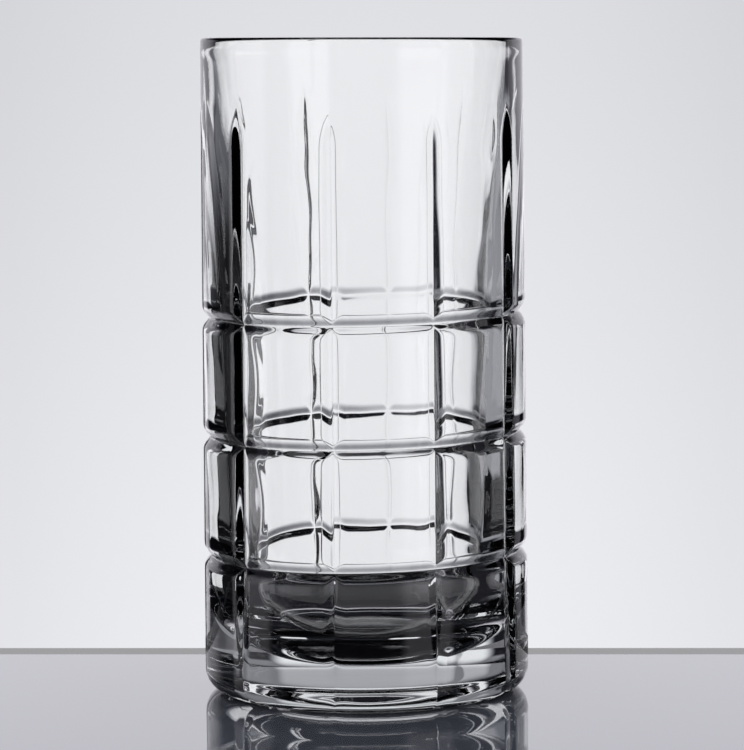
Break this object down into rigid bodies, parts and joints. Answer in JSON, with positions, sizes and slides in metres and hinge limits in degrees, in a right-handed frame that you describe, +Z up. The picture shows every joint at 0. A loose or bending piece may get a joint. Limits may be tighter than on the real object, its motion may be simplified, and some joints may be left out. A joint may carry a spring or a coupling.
{
  "type": "iced tea glass",
  "caption": "Tall clear pressed-glass tumbler for iced tea: upright pointed flutes crossed by ring grooves, plain band below a rounded rim, thick heavy base.",
  "frame": {"origin": "centre of the foot, on the surface that the glass stands on", "axes": "+Z up along the axis of the glass, -Y the side seen in the picture, +X to its right"},
  "size_m": [0.076, 0.076, 0.152],
  "materials": {
    "clear_glass": "colourless soda-lime glass, pressed and fire-polished, high gloss"
  },
  "bodies": {
    "root": {"tumbler": "clear_glass"}
  },
  "joints": []
}
